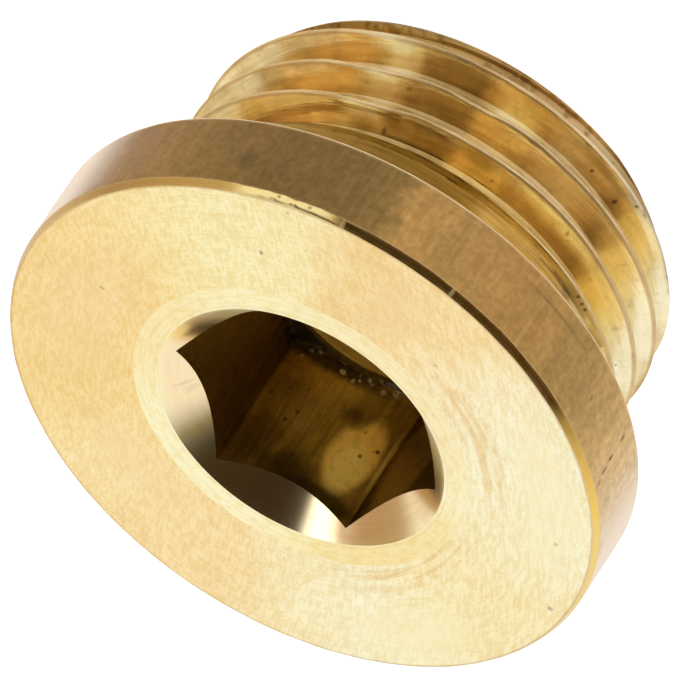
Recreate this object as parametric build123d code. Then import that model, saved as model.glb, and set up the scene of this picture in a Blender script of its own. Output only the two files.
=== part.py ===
from build123d import *
import math
import os

# A screw plug with a round collar, a parallel pipe thread and a hexagon socket.
# Millimetres. The axis is Z. The thread end stands on Z = 0 and the socket opens upwards.
# Two corners of the hexagon point along +X and -X.

# Collar
collar_diameter = 26.0
collar_thickness = 3.9
face_bevel_width = 0.15
face_bevel_height = 0.34
seat_bevel = 0.10

# Shank, from the thread end up to the seat under the collar
shank_length = 9.75
end_chamfer_depth = 0.95
end_chamfer_length = 1.5
neck_length = 2.75
neck_relief = 0.20
neck_cone_height = 0.20

# Thread: G 1/2, right hand. Its depth and crest flat go with the pitch.
thread_major_diameter = 20.75
threads_per_inch = 14
thread_half_angle = 27.5
thread_depth_in_pitches = 0.62
crest_flat_in_pitches = 0.17
thread_start_angle = -12.9

# Run-out: a cone where the root of the thread climbs to the neck
runout_length = 1.0
runout_gap = 2.70

# Hexagon socket, broached in a drilled hole, with a countersunk mouth
socket_across_flats = 10.15
socket_depth = 7.7
countersink_width = 0.46
countersink_angle = 90.0
pilot_wall = 0.10
pilot_extra_depth = 0.6
drill_point_angle = 118.0

inch = 25.4
cut_margin = 0.5

thread_pitch = inch / threads_per_inch
thread_depth = thread_depth_in_pitches * thread_pitch
crest_flat = crest_flat_in_pitches * thread_pitch
thread_radius = thread_major_diameter / 2
root_radius = thread_radius - thread_depth
neck_radius = thread_radius - neck_relief
face_height = shank_length + collar_thickness
neck_start = shank_length - neck_length
runout_end = shank_length - runout_gap


def turned(points):
    """Solid of revolution about Z from (radius, height) corners."""
    outline = Plane.XZ * make_face(Polyline(*points, close=True))
    return revolve(outline, Axis.Z)


def half_turn_of_groove():
    """Groove of the thread over half a turn, starting at height 0 on +X."""
    margin = crest_flat / 2
    slope = math.tan(math.radians(thread_half_angle))
    half_mouth = (thread_pitch - crest_flat) / 2
    half_root = half_mouth - thread_depth * slope
    half_outer = half_mouth + margin * slope
    outer_radius = thread_radius + margin
    section = Plane.XZ * make_face(
        Polyline(
            (root_radius, -half_root),
            (outer_radius, -half_outer),
            (outer_radius, half_outer),
            (root_radius, half_root),
            close=True,
        )
    )
    path = Helix(thread_pitch, thread_pitch / 2, thread_radius)
    return sweep(section, path=path, is_frenet=True)


def groove_pieces():
    """Half turns that join into one groove, from below the end to past the run-out."""
    first_height = -1.5 * thread_pitch
    last_height = runout_end + thread_pitch / 2
    piece = half_turn_of_groove()
    count = math.ceil((last_height - first_height) / (thread_pitch / 2))
    for step in range(count):
        turn = Rot(0, 0, thread_start_angle + 180 * step)
        rise = Pos(0, 0, first_height + step * thread_pitch / 2)
        yield turn * rise * piece


def runout_core():
    """Metal that the threading tool leaves near the neck, with spare metal to turn off."""
    slope = (neck_radius - root_radius) / runout_length
    low_radius = root_radius - cut_margin
    high_radius = neck_radius + cut_margin
    low_height = runout_end - (neck_radius - low_radius) / slope
    high_height = runout_end + cut_margin / slope
    return turned(
        [
            (0, low_height),
            (low_radius, low_height),
            (high_radius, high_height),
            (high_radius, shank_length),
            (0, shank_length),
        ]
    )


def neck_cut():
    """Ring turned off between the thread and the collar."""
    outer_radius = thread_radius + cut_margin
    slope = neck_relief / neck_cone_height
    return turned(
        [
            (neck_radius, neck_start),
            (outer_radius, neck_start - (outer_radius - neck_radius) / slope),
            (outer_radius, shank_length + cut_margin),
            (neck_radius, shank_length + cut_margin),
        ]
    )


def shank():
    """Bar with its end chamfer, thread, run-out and neck."""
    bar = turned(
        [
            (0, 0),
            (thread_radius - end_chamfer_depth, 0),
            (thread_radius, end_chamfer_length),
            (thread_radius, shank_length),
            (0, shank_length),
        ]
    )
    for piece in groove_pieces():
        bar = bar - piece
    return bar + runout_core() - neck_cut()


def collar():
    """Round collar with a bevelled face edge and a small bevel at the seat."""
    radius = collar_diameter / 2
    return turned(
        [
            (0, shank_length),
            (radius - seat_bevel, shank_length),
            (radius, shank_length + seat_bevel),
            (radius, face_height - face_bevel_height),
            (radius - face_bevel_width, face_height),
            (0, face_height),
        ]
    )


def hexagon_cut():
    """Broached hexagon, flats across Y."""
    hexagon = RegularPolygon(socket_across_flats / 2, 6, major_radius=False)
    return Pos(0, 0, face_height - socket_depth) * extrude(hexagon, socket_depth + cut_margin)


def pilot_cut():
    """Drilled hole that the broach follows, with the point of the drill below it."""
    radius = socket_across_flats / 2 - pilot_wall
    bottom = face_height - socket_depth - pilot_extra_depth
    point_length = radius / math.tan(math.radians(drill_point_angle / 2))
    return turned([(0, bottom - point_length), (radius, bottom), (radius, face_height), (0, face_height)])


def countersink_cut():
    """Cone that opens the mouth of the socket just past the corners of the hexagon."""
    corner_radius = socket_across_flats / math.sqrt(3)
    slope = math.tan(math.radians(countersink_angle / 2))
    top_radius = corner_radius + countersink_width + cut_margin * slope
    top_height = face_height + cut_margin
    return turned([(0, top_height - top_radius / slope), (top_radius, top_height), (0, top_height)])


def plug():
    """The whole plug, turned, threaded and broached from one bar."""
    return shank() + collar() - hexagon_cut() - pilot_cut() - countersink_cut()


os.makedirs("parts", exist_ok=True)
body = plug()
print("plug:", len(body.solids()), "solid,", round(body.volume, 1), "mm3, valid", body.is_valid)
export_step(body, "parts/plug.step")
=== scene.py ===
import math

import bpy
import numpy as np
from mathutils import Matrix, Vector


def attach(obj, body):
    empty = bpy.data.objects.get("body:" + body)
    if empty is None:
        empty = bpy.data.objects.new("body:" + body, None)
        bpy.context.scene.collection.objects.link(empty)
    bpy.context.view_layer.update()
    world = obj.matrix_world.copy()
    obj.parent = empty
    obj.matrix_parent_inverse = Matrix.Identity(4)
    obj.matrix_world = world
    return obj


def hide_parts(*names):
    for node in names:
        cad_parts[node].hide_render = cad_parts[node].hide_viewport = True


# A brass screw plug with a round collar, a pipe thread and a hexagon socket.
# Shape sizes are in millimetres and become metres when the mesh is made.
# The plug stands on its thread end at height 0, on the Z axis, and the socket opens upwards.
# Places round the plug are angles in degrees from its front, the side that faces the camera.

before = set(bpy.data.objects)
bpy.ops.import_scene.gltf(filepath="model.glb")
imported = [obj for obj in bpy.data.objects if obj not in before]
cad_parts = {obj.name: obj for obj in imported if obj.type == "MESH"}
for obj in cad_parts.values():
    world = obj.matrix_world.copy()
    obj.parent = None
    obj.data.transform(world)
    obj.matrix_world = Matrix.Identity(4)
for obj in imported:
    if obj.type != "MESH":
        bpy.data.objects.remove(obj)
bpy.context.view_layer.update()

MM = 0.001
TURN = 2 * math.pi
front_angle = math.radians(-99.05)

# ---------------------------------------------------------------- sizes of the plug

STEPS = 360  # divisions of a full turn, a multiple of the hexagon's six sides

face_height = 13.65
collar_radius = 13.0
seat_height = 9.75
face_bevel_width = 0.15
face_bevel_height = 0.34
seat_bevel = 0.10

thread_radius = 10.375
thread_pitch = 25.4 / 14
thread_depth = 0.62 * thread_pitch
crest_rounding = 0.14
root_rounding = 0.05
flank_angle = math.radians(27.5)
flank_slope = math.tan(flank_angle)
crest_corner = 62.5  # degrees that the rounding turns from flat to flank
thread_start_angle = math.radians(-12.9)
neck_radius = 10.175
neck_start = 7.0
neck_cone_height = 0.2
runout_end = 7.05
runout_length = 1.0
end_chamfer_depth = 0.95
end_chamfer_length = 1.5
lead_top = 0.85

across_flats = 10.15
socket_depth = 7.7
mouth_radius = 6.32
pilot_radius = 4.975
pilot_extra_depth = 0.6
drill_half_angle = math.radians(59)
ring_radius = 7.4
ring_sink = 0.02

root_radius = thread_radius - thread_depth

# ---------------------------------------------------------------- the view

camera_azimuth = math.radians(-99.10)
camera_elevation = math.radians(36.45)
camera_roll = math.radians(146.48)
camera_distance = 907.1
sensor_width = 36
focal_pixels = 22971.0
picture_pixels = 680
camera_lens = focal_pixels / picture_pixels * sensor_width
image_centre_right = 1.570
image_centre_up = 3.481


# ---------------------------------------------------------------- shape

def from_front(angle):
    """Degrees from the front, -180 to 180, of an angle from +X in radians."""
    return (np.degrees(angle - front_angle) + 180) % 360 - 180


def waves(angle, seed, lowest, highest):
    """Smooth irregular waves round the turn, about -1 to 1."""
    random = np.random.default_rng(seed)
    total = np.zeros_like(angle)
    for count in range(lowest, highest):
        total = total + random.normal() * np.cos(count * angle + random.uniform(0, TURN))
    return total / math.sqrt(highest - lowest)


def window(place, centre, half, soft):
    """1 within half of a centre, falling to 0 over soft."""
    away = np.abs((place - centre + 180) % 360 - 180)
    return np.clip((half + soft - away) / soft, 0, 1)


def groove_centre(angle):
    """Height of the middle of the thread groove at an angle, on one of its turns."""
    return -1.5 * thread_pitch + (angle - thread_start_angle) * thread_pitch / TURN


def thread_profile():
    """(rise, radius) pairs over one pitch, from a crest's top up to the next crest's top."""
    rows = []
    for degrees in (0, 14, 28, 42, 54, crest_corner):
        tilt = math.radians(degrees)
        rows.append((crest_rounding * math.sin(tilt), thread_radius - crest_rounding * (1 - math.cos(tilt))))
    crest_edge, crest_edge_radius = rows[-1]
    root_edge_radius = root_radius + root_rounding * (1 - math.sin(flank_angle))
    root_edge = crest_edge + (crest_edge_radius - root_edge_radius) * flank_slope
    for share in (0.12, 0.35, 0.6, 0.85, 1.0):
        rows.append((crest_edge + (root_edge - crest_edge) * share,
                     crest_edge_radius + (root_edge_radius - crest_edge_radius) * share))
    for share in (0.5, 1.0):
        tilt = math.radians(crest_corner) * (1 - share)
        rows.append((root_edge + (thread_pitch / 2 - root_edge) * share,
                     root_radius + root_rounding * (1 - math.cos(tilt))))
    rows = np.array(rows)
    back = rows[-2::-1].copy()
    back[:, 0] = thread_pitch - back[:, 0]
    return np.concatenate([rows, back[:-1]])


def hexagon_radius(angle):
    """Distance from the axis to the side of the hexagon."""
    side = (angle % (TURN / 6)) - TURN / 12
    return across_flats / 2 / np.cos(side)


class Skin:
    """Points and faces of the plug, gathered band by band."""

    def __init__(self):
        self.points = []
        self.wear_and_highlight = []
        self.faces = []
        self.finishes = []
        self.count = 0
        self.angles = np.arange(STEPS) * TURN / STEPS
        self.places = from_front(self.angles)

    def add_points(self, radius, angle, height, wear_and_highlight=0.0):
        radius, angle, height, wear_and_highlight = np.broadcast_arrays(radius, angle, height, wear_and_highlight)
        block = np.stack([radius * np.cos(angle), radius * np.sin(angle), height], axis=-1)
        self.points.append(block.reshape(-1, 3))
        self.wear_and_highlight.append(wear_and_highlight.ravel())
        start = self.count
        self.count += len(self.points[-1])
        return start

    def ring(self, radius, height, wear_and_highlight=0.0):
        return self.add_points(radius, self.angles, height, wear_and_highlight) + np.arange(STEPS)

    def band(self, first, second, finish):
        """Faces between two rings of points."""
        quads = np.stack([first, np.roll(first, -1), np.roll(second, -1), second], axis=-1)
        self.add_faces(quads, finish)

    def add_faces(self, quads, finish):
        self.faces.append(quads)
        if isinstance(finish, str):
            finish = np.full(len(quads), FINISHES.index(finish))
        self.finishes.append(finish)

    def lathe(self, profile, finish, start=None):
        """Bands along (radius, height) or (radius, height, wear) rows. Returns the last ring."""
        last = start
        for row in profile:
            ring = self.ring(*row)
            if last is not None:
                self.band(last, ring, finish)
            last = ring
        return last

    def mesh(self, name):
        """One closed mesh in metres, with points that coincide joined."""
        points = np.concatenate(self.points)
        wear_and_highlight = np.concatenate(self.wear_and_highlight)
        keys, index = np.unique(np.round(points * 1e5).astype(np.int64), axis=0, return_inverse=True)
        index = index.ravel()
        joined = np.zeros((len(keys), 3))
        joined[index] = points
        joined_wear_and_highlight = np.zeros(len(keys), np.float32)
        joined_wear_and_highlight[index] = wear_and_highlight
        faces, finishes = [], []
        for quad, finish in zip(index[np.concatenate(self.faces)], np.concatenate(self.finishes)):
            corners = list(dict.fromkeys(quad.tolist()))
            if len(corners) > 2:
                faces.append(corners)
                finishes.append(finish)
        made = bpy.data.meshes.new(name)
        made.from_pydata((joined * MM).tolist(), [], faces)
        made.polygons.foreach_set("material_index", finishes)
        # This mask marks edges for scuffed paint and painted highlight.
        made.attributes.new("wear_and_highlight", "FLOAT", "POINT").data.foreach_set("value", joined_wear_and_highlight)
        made.update()
        return made


FINISHES = ["face", "ring", "bevel", "side", "seat", "neck", "thread", "lead", "end",
            "countersink", "socket", "pilot"]

# Dents in the crests: place, half width in degrees, height above the end, reach in height,
# how far the crest is pushed up and how far it is pressed in
crest_dents = [
    (27, 7, 5.15, 0.6, 0.11, 0.05),
    (-22, 14, 4.9, 0.6, -0.06, 0.0),
    (31, 8, 3.3, 0.6, 0.09, 0.04),
    (6, 5, 3.15, 0.6, 0.06, 0.03),
    (-6, 7, 3.0, 0.6, -0.07, 0.0),
    (150, 12, 3.6, 0.7, 0.10, 0.06),
    (-120, 9, 5.6, 0.7, -0.08, 0.05),
]


def add_thread(skin, top):
    """Thread surface from the end plane up to a height. Returns its lowest and highest ring."""
    profile = thread_profile()
    per_turn = len(profile)
    turns = math.ceil(top / thread_pitch) + 4
    angle = skin.angles[None, :]
    rise = np.concatenate([profile[:, 0] + turn * thread_pitch for turn in range(turns)])[:, None]
    radius = np.tile(profile[:, 1], turns)[:, None]
    lift = groove_centre(angle) - thread_pitch * 1.5
    heights = lift + rise
    crestness = np.clip((radius - root_radius) / thread_depth, 0, 1) ** 2
    winding = angle + TURN * rise / thread_pitch
    push = 0.012 * waves(winding, 3, 4, 22) + 0.003 * waves(winding, 5, 40, 90)
    press = 0.005 * np.abs(waves(winding, 8, 20, 70))
    for place, half, height, reach, up, inward in crest_dents:
        here = window(skin.places[None, :], place, half * 0.5, half)
        here = here * np.clip(1.4 - np.abs(heights - height) / reach, 0, 1)
        push = push + here * up
        press = press + here * inward
    heights = heights + push * crestness
    end_radius = np.interp(-lift[0], rise[:, 0], radius[:, 0])
    pressed = np.where(heights < 0, 0.0, press * crestness)
    radius = np.where(heights < 0, end_radius, radius)
    heights = np.clip(heights, 0, top)
    blank = np.minimum(thread_radius, thread_radius - end_chamfer_depth * (1 - heights / end_chamfer_length))
    core = np.interp(heights, [runout_end - runout_length, runout_end], [root_radius, neck_radius])
    neck = np.interp(heights, [neck_start - neck_cone_height, neck_start], [thread_radius, neck_radius])
    radii = np.minimum(np.maximum(np.minimum(blank, radius - pressed), np.minimum(core, blank)), neck)
    wear_and_highlight = np.clip((radius - thread_radius + 0.022) / 0.012, 0, 1) + np.zeros_like(radii)
    on_land = (heights < end_chamfer_length + 0.1) & (radii > blank - 0.004)
    wear_and_highlight = np.where(on_land, 1.0, wear_and_highlight)
    on_neck = heights > neck_start - neck_cone_height - 0.05
    finish = np.where(heights < lead_top, FINISHES.index("lead"), FINISHES.index("thread"))
    finish = np.where(on_neck, FINISHES.index("neck"), finish)
    start = skin.add_points(radii, angle, heights, wear_and_highlight)
    index = start + np.arange(len(rise) * STEPS).reshape(len(rise), STEPS)
    here = np.stack([index[:-1, :-1], index[:-1, 1:], index[1:, 1:], index[1:, :-1]], axis=-1)
    skin.add_faces(here.reshape(-1, 4), np.minimum(finish[:-1, :-1], finish[1:, 1:]).ravel())
    last, first = index[:-per_turn, -1], index[per_turn:, 0]
    seam = np.stack([last[:-1], first[:-1], first[1:], last[1:]], axis=-1)
    skin.add_faces(seam, finish[:-per_turn - 1, -1])
    return index[0], index[-1]


def face_and_collar(skin, mouth):
    """Face, bevelled edge, side and seat of the collar, out from the mouth of the socket."""
    top = face_height
    edge = collar_radius - face_bevel_width
    sunk = [(r, top - ring_sink) for r in (6.40, 6.7, 7.0, 7.25)]
    ring = skin.lathe(sunk + [(ring_radius, top - ring_sink * 0.4)], "ring", mouth)
    radii = (7.55, 8, 8.5, 9, 9.5, 10, 10.5, 11, 11.5, 12, 12.5, 12.72)
    face = skin.lathe([(r, top) for r in radii], "face", ring)

    burr = window(skin.places, 25, 6, 6)
    ragged = waves(skin.angles, 21, 40, 120)
    chatter = waves(skin.angles, 22, 12, 60)
    lip = edge + 0.006 * chatter + burr * (0.03 + 0.012 * ragged)
    lip_height = top - burr * (0.03 + 0.01 * np.abs(ragged))
    face = skin.lathe([(lip, lip_height, 0.25)], "face", face)
    middle = edge + face_bevel_width * 0.55 + burr * (0.03 + 0.010 * ragged)
    middle_height = top - face_bevel_height * 0.5 + burr * (0.03 + 0.015 * ragged)
    low = collar_radius - 0.004 + 0.004 * chatter
    low_height = top - face_bevel_height + 0.012 * chatter + burr * 0.03 * ragged
    bevel = skin.lathe([(middle, middle_height, 0.0), (low - 0.02, low_height + 0.04, 0.1),
                        (low, low_height, 0.45)], "bevel", face)

    side_top = top - face_bevel_height - 0.08
    side_low = seat_height + seat_bevel
    heights = np.concatenate([[side_top], np.linspace(side_top, side_low + 0.12, 8)[1:]])
    side = skin.lathe([(collar_radius, h, 0.0) for h in heights], "side", bevel)
    nibble = 0.015 * np.abs(waves(skin.angles, 31, 20, 110))
    side = skin.lathe([(collar_radius, side_low + 0.02, 0.6)], "side", side)
    edge_rows = [(collar_radius - 0.012, side_low - 0.03, 1.0),
                 (collar_radius - 0.05 - nibble, side_low - 0.07, 1.0),
                 (collar_radius - 0.12 - nibble, seat_height, 0.8)]
    flat_rows = [(r, seat_height, 0.0) for r in (12.6, 12.0, 11.2, neck_radius + 0.12)]
    return skin.lathe(edge_rows + flat_rows + [(neck_radius, seat_height - 0.12, 0.0)], "seat", side)


def socket(skin, mouth):
    """Countersink, hexagon and drilled hole, down from the mouth."""
    corner = hexagon_radius(skin.angles)
    sink = face_height - ring_sink
    curve = face_height - (mouth_radius - corner)
    cone = mouth
    for share in (0.08, 0.3, 0.55, 0.8, 1.0):
        radius = mouth_radius + (corner - mouth_radius) * share
        height = sink + (curve - sink) * share
        step = skin.ring(radius, height, 1.0 if share < 0.1 else 0.0)
        skin.band(cone, step, "countersink")
        cone = step
    bottom = face_height - socket_depth
    chips = window(skin.places, 180, 22, 14)
    ragged = waves(skin.angles, 41, 25, 100)
    coarse = waves(skin.angles, 43, 9, 40)
    broken = 0.01 * coarse + chips * 0.03 * ragged
    shares = np.linspace(0, 1, 13)[1:-1]
    wall = skin.lathe([(corner, curve + (bottom - curve) * s) for s in shares], "socket", cone)
    nibbled = [(corner - 0.01 - chips * 0.03 * np.abs(ragged), bottom + 0.30 + broken * 0.4),
               (corner - 0.05 - chips * 0.07 * np.abs(coarse), bottom + 0.14 + broken)]
    wall = skin.lathe(nibbled, "socket", wall)
    inner = np.minimum(corner - 0.1, pilot_radius + 0.05)
    pilot_bottom = bottom - pilot_extra_depth
    tip = pilot_bottom - pilot_radius / math.tan(drill_half_angle)
    ledge = skin.lathe([(inner - chips * 0.06 * np.abs(ragged), bottom + 0.02 + broken * 0.5),
                        (pilot_radius, bottom - 0.12)], "pilot", wall)
    profile = [(pilot_radius, pilot_bottom)]
    for radius in (4.2, 3.3, 2.4, 1.6, 0.8, 0.0):
        profile.append((radius, pilot_bottom + (tip - pilot_bottom) * (1 - radius / pilot_radius)))
    skin.lathe(profile, "pilot", ledge)


def build_plug():
    """The whole plug as one closed skin."""
    skin = Skin()
    mouth = skin.ring(mouth_radius, face_height - ring_sink, 1.0)
    seat = face_and_collar(skin, mouth)
    neck = skin.lathe([(neck_radius + 0.004 * waves(skin.angles, 51 + step, 3, 30), height, 0.0)
                       for step, height in enumerate((9.3, 8.9, 8.5, 8.1))], "neck", seat)
    low, high = add_thread(skin, 7.7)
    skin.band(neck, high, "neck")
    skin.lathe([(r, 0.0) for r in (9.0, 8.0, 6.0, 4.0, 2.0, 0.5, 0.0)], "end", low)
    socket(skin, mouth)
    return skin.mesh("plug_body")


# ---------------------------------------------------------------- shader tools

def add(tree, kind, settings=None, inputs=None):
    made = tree.nodes.new("ShaderNode" + kind)
    for name, value in (settings or {}).items():
        setattr(made, name, value)
    connect(tree, made, inputs)
    return made


def connect(tree, node, inputs):
    for name, value in (inputs or {}).items():
        if isinstance(value, bpy.types.NodeSocket):
            tree.links.new(value, node.inputs[name])
        else:
            node.inputs[name].default_value = value


def add_group(tree, name, inputs=None):
    made = tree.nodes.new("ShaderNodeGroup")
    made.node_tree = bpy.data.node_groups[name]
    connect(tree, made, inputs)
    return made


def math_node(tree, operation, first, second=0.0, third=0.0):
    return add(tree, "Math", {"operation": operation}, {0: first, 1: second, 2: third}).outputs[0]


def mix(tree, share, first, second, blend="MIX"):
    settings = {"data_type": "RGBA", "blend_type": blend}
    return add(tree, "Mix", settings, {0: share, 6: first, 7: second}).outputs[2]


def vector_math(tree, operation, inputs, output=0):
    return add(tree, "VectorMath", {"operation": operation}, inputs).outputs[output]


def noise(tree, place, scale, detail, roughness=0.5, distortion=0.0):
    return add(tree, "TexNoise", None, {"Vector": place, "Scale": scale, "Detail": detail,
                                        "Roughness": roughness, "Distortion": distortion}).outputs


def smooth(tree, value, low, high, at_low=0.0, at_high=1.0):
    inputs = {"Value": value, "From Min": low, "From Max": high, "To Min": at_low, "To Max": at_high}
    return add(tree, "MapRange", {"interpolation_type": "SMOOTHSTEP"}, inputs).outputs[0]


def shade(tree, colour, tint):
    """Colour multiplied by a tint."""
    return mix(tree, 1.0, colour, (*tint, 1), "MULTIPLY")


def tinted(tree, colour, mask, strength, tint):
    """Colour multiplied by a tint where the mask is."""
    return mix(tree, math_node(tree, "MULTIPLY", mask, strength), colour, shade(tree, colour, tint))


def painted(tree, colour, mask, strength, paint):
    """Colour with a paint laid on where the mask is."""
    return mix(tree, math_node(tree, "MULTIPLY", mask, strength), colour, (*paint, 1))


def new_group(name, inputs, outputs=(("Mask", "Float"),)):
    """Node group with named sockets. inputs are values by label, outputs are (label, kind) rows."""
    tree = bpy.data.node_groups.new(name, "ShaderNodeTree")
    for label, value in inputs.items():
        kind = "Vector" if isinstance(value, tuple) else "Float"
        socket_made = tree.interface.new_socket(label, in_out="INPUT", socket_type="NodeSocket" + kind)
        socket_made.default_value = value
    for label, kind in outputs:
        tree.interface.new_socket(label, in_out="OUTPUT", socket_type="NodeSocket" + kind)
    return tree, tree.nodes.new("NodeGroupInput").outputs, tree.nodes.new("NodeGroupOutput").inputs


def make_round_the_axis():
    """Place on the plug: millimetres turned so that X points to the front, angle, radius, height."""
    outputs = [("Place", "Vector"), ("Angle", "Float"), ("Radius", "Float"), ("Height", "Float")]
    tree, _, out = new_group("Round the axis", {}, outputs)
    here = add(tree, "TexCoord").outputs["Object"]
    turned = add(tree, "VectorRotate", {"rotation_type": "Z_AXIS"}, {"Vector": here, "Angle": -front_angle})
    place = vector_math(tree, "SCALE", {0: turned.outputs[0], "Scale": 1000.0})
    parts = add(tree, "SeparateXYZ", None, {0: place}).outputs
    angle = math_node(tree, "DEGREES", math_node(tree, "ARCTAN2", parts[1], parts[0]))
    flat = add(tree, "CombineXYZ", None, {0: parts[0], 1: parts[1]}).outputs[0]
    radius = vector_math(tree, "LENGTH", {0: flat}, "Value")
    for name, value in (("Place", place), ("Angle", angle), ("Radius", radius), ("Height", parts[2])):
        tree.links.new(value, out[name])


def make_grain():
    """Even mottled grain of one size."""
    tree, given, out = new_group("Grain", {"Size mm": 1.0, "Detail": 3.0, "Contrast": 1.0})
    place = add_group(tree, "Round the axis").outputs["Place"]
    scale = math_node(tree, "DIVIDE", 1.0, given["Size mm"])
    value = noise(tree, place, scale, given["Detail"], 0.6)[0]
    swing = math_node(tree, "MULTIPLY", math_node(tree, "SUBTRACT", value, 0.5), given["Contrast"])
    mask = add(tree, "Math", {"operation": "ADD", "use_clamp": True}, {0: swing, 1: 0.5}).outputs[0]
    tree.links.new(mask, out[0])


def make_streaks():
    """Fine streaks along the axis, as on drawn bar."""
    tree, given, out = new_group("Streaks", {"Width mm": 0.2, "Length mm": 4.0})
    place = add_group(tree, "Round the axis").outputs["Place"]
    across = math_node(tree, "DIVIDE", 1.0, given["Width mm"])
    along = math_node(tree, "DIVIDE", 1.0, given["Length mm"])
    scale = add(tree, "CombineXYZ", None, {0: across, 1: across, 2: along}).outputs[0]
    stretched = vector_math(tree, "MULTIPLY", {0: place, 1: scale})
    value = noise(tree, stretched, 1.0, 4.0, 0.65)[0]
    tree.links.new(smooth(tree, value, 0.3, 0.7), out[0])


def make_tool_lines():
    """Lines that a turning tool leaves, as arcs round a centre."""
    tree, given, out = new_group("Tool lines", {"Spacing mm": 0.15, "Arc length": 3.0, "Centre": (0, 0, 0)})
    axis = add_group(tree, "Round the axis").outputs
    away = vector_math(tree, "SUBTRACT", {0: axis["Place"], 1: given["Centre"]})
    parts = add(tree, "SeparateXYZ", None, {0: away}).outputs
    flat = add(tree, "CombineXYZ", None, {0: parts[0], 1: parts[1]}).outputs[0]
    radius = vector_math(tree, "LENGTH", {0: flat}, "Value")
    aim = vector_math(tree, "NORMALIZE", {0: flat})
    arc = math_node(tree, "DIVIDE", 20.0, given["Arc length"])
    aim = vector_math(tree, "SCALE", {0: aim, "Scale": arc})
    step = math_node(tree, "DIVIDE", math_node(tree, "ADD", radius, parts[2]), given["Spacing mm"])
    step = add(tree, "CombineXYZ", None, {2: step}).outputs[0]
    both = vector_math(tree, "ADD", {0: aim, 1: step})
    value = noise(tree, both, 1.0, 3.0, 0.55)[0]
    tree.links.new(smooth(tree, value, 0.32, 0.68), out[0])


def make_pits():
    """Scattered small dark pits."""
    tree, given, out = new_group("Pits", {"Spacing mm": 1.5, "Size mm": 0.1, "Share": 0.3})
    place = add_group(tree, "Round the axis").outputs["Place"]
    bent = mix(tree, 0.12, place, noise(tree, place, 3.0, 2.0)["Color"], "LINEAR_LIGHT")
    scale = math_node(tree, "DIVIDE", 1.0, given["Spacing mm"])
    cells = add(tree, "TexVoronoi", None, {"Vector": bent, "Scale": scale})
    reach = math_node(tree, "DIVIDE", given["Size mm"], given["Spacing mm"])
    dot = smooth(tree, cells.outputs["Distance"], math_node(tree, "MULTIPLY", reach, 0.4), reach, 1.0, 0.0)
    chance = add(tree, "SeparateColor", None, {0: cells.outputs["Color"]}).outputs[0]
    chosen = math_node(tree, "LESS_THAN", chance, given["Share"])
    tree.links.new(math_node(tree, "MULTIPLY", dot, chosen), out[0])


def make_mottle():
    """Irregular blots, where soft noise falls under a threshold."""
    tree, given, out = new_group("Mottle", {"Size mm": 0.5, "Level": 0.42, "Soft": 0.08})
    place = add_group(tree, "Round the axis").outputs["Place"]
    scale = math_node(tree, "DIVIDE", 1.0, given["Size mm"])
    value = noise(tree, place, scale, 4.0, 0.55, 0.6)[0]
    low = math_node(tree, "SUBTRACT", given["Level"], given["Soft"])
    high = math_node(tree, "ADD", given["Level"], given["Soft"])
    tree.links.new(smooth(tree, value, low, high, 1.0, 0.0), out[0])


def make_patch():
    """One soft-edged patch at a place: angle from the front, radius and height."""
    tree, given, out = new_group("Patch", {"Angle": 0.0, "Half angle": 5.0, "Radius": 10.0,
                                           "Half radius": 99.0, "Height": 5.0, "Half height": 99.0,
                                           "Soft": 0.5, "Ragged": 0.5, "Ragged size": 0.6})
    axis = add_group(tree, "Round the axis").outputs
    reach = {}
    for index, name in enumerate(("Angle", "Radius", "Height")):
        apart = math_node(tree, "SUBTRACT", axis[name], given[name])
        if name == "Angle":
            apart = math_node(tree, "WRAP", apart, 180.0, -180.0)
        reach[index] = math_node(tree, "DIVIDE", apart, given["Half " + name.lower()])
    away = add(tree, "CombineXYZ", None, reach).outputs[0]
    away = vector_math(tree, "LENGTH", {0: away}, "Value")
    scale = math_node(tree, "DIVIDE", 1.0, given["Ragged size"])
    value = noise(tree, axis["Place"], scale, 3.0)[0]
    bend = math_node(tree, "MULTIPLY", math_node(tree, "SUBTRACT", value, 0.5), given["Ragged"])
    away = math_node(tree, "ADD", away, bend)
    tree.links.new(smooth(tree, away, math_node(tree, "SUBTRACT", 1.0, given["Soft"]), 1.0, 1.0, 0.0), out[0])


def make_worn_edge_and_highlight():
    """Where edges are scuffed bright, with painted highlight along them."""
    tree, given, out = new_group("Worn edge and highlight", {"Amount": 1.0, "Ragged size": 0.5})
    wear_and_highlight = add(tree, "Attribute", {"attribute_name": "wear_and_highlight"}).outputs["Fac"]
    grain = add_group(tree, "Grain", {"Size mm": given["Ragged size"], "Contrast": 2.2}).outputs[0]
    mask = math_node(tree, "MULTIPLY", wear_and_highlight, smooth(tree, grain, 0.15, 0.6, 0.35, 1.0))
    tree.links.new(math_node(tree, "MULTIPLY", mask, given["Amount"]), out[0])


def grain_mask(tree, size, detail, contrast):
    return add_group(tree, "Grain", {"Size mm": size, "Detail": detail, "Contrast": contrast}).outputs[0]


def streak_mask(tree, width, length):
    return add_group(tree, "Streaks", {"Width mm": width, "Length mm": length}).outputs[0]


def tool_lines(tree, spacing, arc, centre=(0, 0, 0)):
    inputs = {"Spacing mm": spacing, "Arc length": arc, "Centre": centre}
    return add_group(tree, "Tool lines", inputs).outputs[0]


def pit_mask(tree, spacing, size, share):
    return add_group(tree, "Pits", {"Spacing mm": spacing, "Size mm": size, "Share": share}).outputs[0]


def mottle_mask(tree, size, level, soft):
    return add_group(tree, "Mottle", {"Size mm": size, "Level": level, "Soft": soft}).outputs[0]


def worn_and_highlighted(tree, colour, paint, amount, ragged_size=0.5):
    """Colour with its edges painted, as scuffed brass and painted highlight."""
    edge = add_group(tree, "Worn edge and highlight", {"Amount": amount, "Ragged size": ragged_size}).outputs[0]
    return mix(tree, edge, colour, (*paint, 1))


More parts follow.
